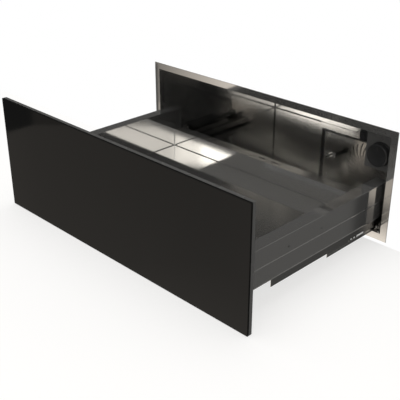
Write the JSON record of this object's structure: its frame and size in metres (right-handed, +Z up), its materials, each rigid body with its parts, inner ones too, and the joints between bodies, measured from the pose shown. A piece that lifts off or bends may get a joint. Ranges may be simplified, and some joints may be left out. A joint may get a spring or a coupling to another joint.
{
  "type": "built-in warming drawer",
  "caption": "Built-in warming drawer with a handleless black glass front, mirror-steel tray, telescopic ball runners, fan-heated cavity and a control knob inside.",
  "frame": {"origin": "centre of the casing's underside, where the appliance stands on the niche shelf", "axes": "+X to the right across the front seen from the room, +Y into the cabinet, +Z up; the drawer opens along -Y"},
  "size_m": [0.759, 1.0204, 0.266],
  "materials": {
    "mirror_steel": "mirror-polished stainless sheet",
    "dark_steel": "glossy anthracite coating",
    "galvanised": "galvanised sheet",
    "satin_steel": "satin stainless",
    "runner_steel": "bright zinc-plated runner steel",
    "black_glass": "black toughened glass, opaque",
    "black_plastic": "satin black moulding",
    "grey_plastic": "dark grey moulding",
    "wool": "mineral wool batt",
    "rubber": "black rubber",
    "heater_foil": "polyimide heater film",
    "motor_steel": "motor housing"
  },
  "bodies": {
    "chassis": {"front_flange": "mirror_steel", "liner_floor": "mirror_steel", "liner_side_right": "mirror_steel", "liner_side_left": "mirror_steel", "liner_back": "mirror_steel", "fan_baffle": "mirror_steel", "casing_base": "galvanised", "casing_top": "galvanised", "casing_side_right": "galvanised", "casing_side_left": "galvanised", "casing_back": "galvanised", "fan_housing": "galvanised", "control_housing": "galvanised", "mains_inlet": "black_plastic", "contact_switch": "black_plastic", "terminal_block": "grey_plastic", "thermostat_body": "grey_plastic", "catch_body": "grey_plastic", "insulation_floor": "wool", "insulation_top": "wool", "insulation_side_right": "wool", "insulation_side_left": "wool", "insulation_back": "wool", "liner_ceiling": "satin_steel", "temperature_sensor": "satin_steel", "ring_heater": "satin_steel", "fan_motor": "motor_steel", "control_plate": "dark_steel", "runner_angle_right": "runner_steel", "runner_angle_left": "runner_steel", "fixed_rail_right": "runner_steel", "fixed_rail_left": "runner_steel"},
    "drawer": {"front_glass": "black_glass", "front_frame": "dark_steel", "tray_pan": "mirror_steel", "side_shell_right": "mirror_steel", "side_shell_left": "mirror_steel", "front_bracket_right": "galvanised", "front_bracket_left": "galvanised", "front_rim": "mirror_steel", "rear_ledge": "mirror_steel", "base_pan": "galvanised", "heater_pad": "heater_foil", "heater_insulation": "wool", "front_bumper_right": "rubber", "front_bumper_left": "rubber", "catch_striker": "satin_steel", "drawer_rail_right": "runner_steel", "drawer_rail_left": "runner_steel"},
    "middle_rail_right": {"middle_rail_right": "runner_steel"},
    "middle_rail_left": {"middle_rail_left": "runner_steel"},
    "upper_cage_right": {"upper_ball_cage_right": "satin_steel"},
    "upper_cage_left": {"upper_ball_cage_left": "satin_steel"},
    "lower_cage_right": {"lower_ball_cage_right": "satin_steel"},
    "lower_cage_left": {"lower_ball_cage_left": "satin_steel"},
    "fan": {"fan_impeller": "satin_steel", "fan_shaft": "satin_steel"},
    "knob": {"control_knob": "black_plastic"},
    "catch": {"catch_plunger": "satin_steel"}
  },
  "joints": [
    {"name": "drawer_slide", "type": "slide", "parent": "chassis", "child": "drawer", "axis": [0, -1, 0], "range_m": [-0.443, 0]},
    {"name": "middle_rail_right_slide", "type": "slide", "parent": "chassis", "child": "middle_rail_right", "axis": [0, -1, 0], "range_m": [-0.2215, 0]},
    {"name": "upper_cage_right_slide", "type": "slide", "parent": "chassis", "child": "upper_cage_right", "axis": [0, -1, 0], "range_m": [-0.33225, 0]},
    {"name": "lower_cage_right_slide", "type": "slide", "parent": "chassis", "child": "lower_cage_right", "axis": [0, -1, 0], "range_m": [-0.11075, 0]},
    {"name": "middle_rail_left_slide", "type": "slide", "parent": "chassis", "child": "middle_rail_left", "axis": [0, -1, 0], "range_m": [-0.2215, 0]},
    {"name": "upper_cage_left_slide", "type": "slide", "parent": "chassis", "child": "upper_cage_left", "axis": [0, -1, 0], "range_m": [-0.33225, 0]},
    {"name": "lower_cage_left_slide", "type": "slide", "parent": "chassis", "child": "lower_cage_left", "axis": [0, -1, 0], "range_m": [-0.11075, 0]},
    {"name": "fan_spin", "type": "hinge", "parent": "chassis", "child": "fan", "pos_m": [0, 0.2287, 0.109], "axis": [0, 1, 0], "continuous": true},
    {"name": "knob_turn", "type": "hinge", "parent": "chassis", "child": "knob", "pos_m": [0.325, -0.2733, 0.1876], "axis": [0, 1, 0], "range_deg": [0, 270]},
    {"name": "catch_push", "type": "slide", "parent": "chassis", "child": "catch", "axis": [0, 1, 0], "range_m": [0, 0.008], "stiffness_N_per_m": 250, "springref_m": -0.006}
  ],
  "couplings": [
    {"joint": "middle_rail_right_slide", "follows": "drawer_slide", "ratio": 0.5},
    {"joint": "upper_cage_right_slide", "follows": "drawer_slide", "ratio": 0.75},
    {"joint": "lower_cage_right_slide", "follows": "drawer_slide", "ratio": 0.25},
    {"joint": "middle_rail_left_slide", "follows": "drawer_slide", "ratio": 0.5},
    {"joint": "upper_cage_left_slide", "follows": "drawer_slide", "ratio": 0.75},
    {"joint": "lower_cage_left_slide", "follows": "drawer_slide", "ratio": 0.25}
  ]
}
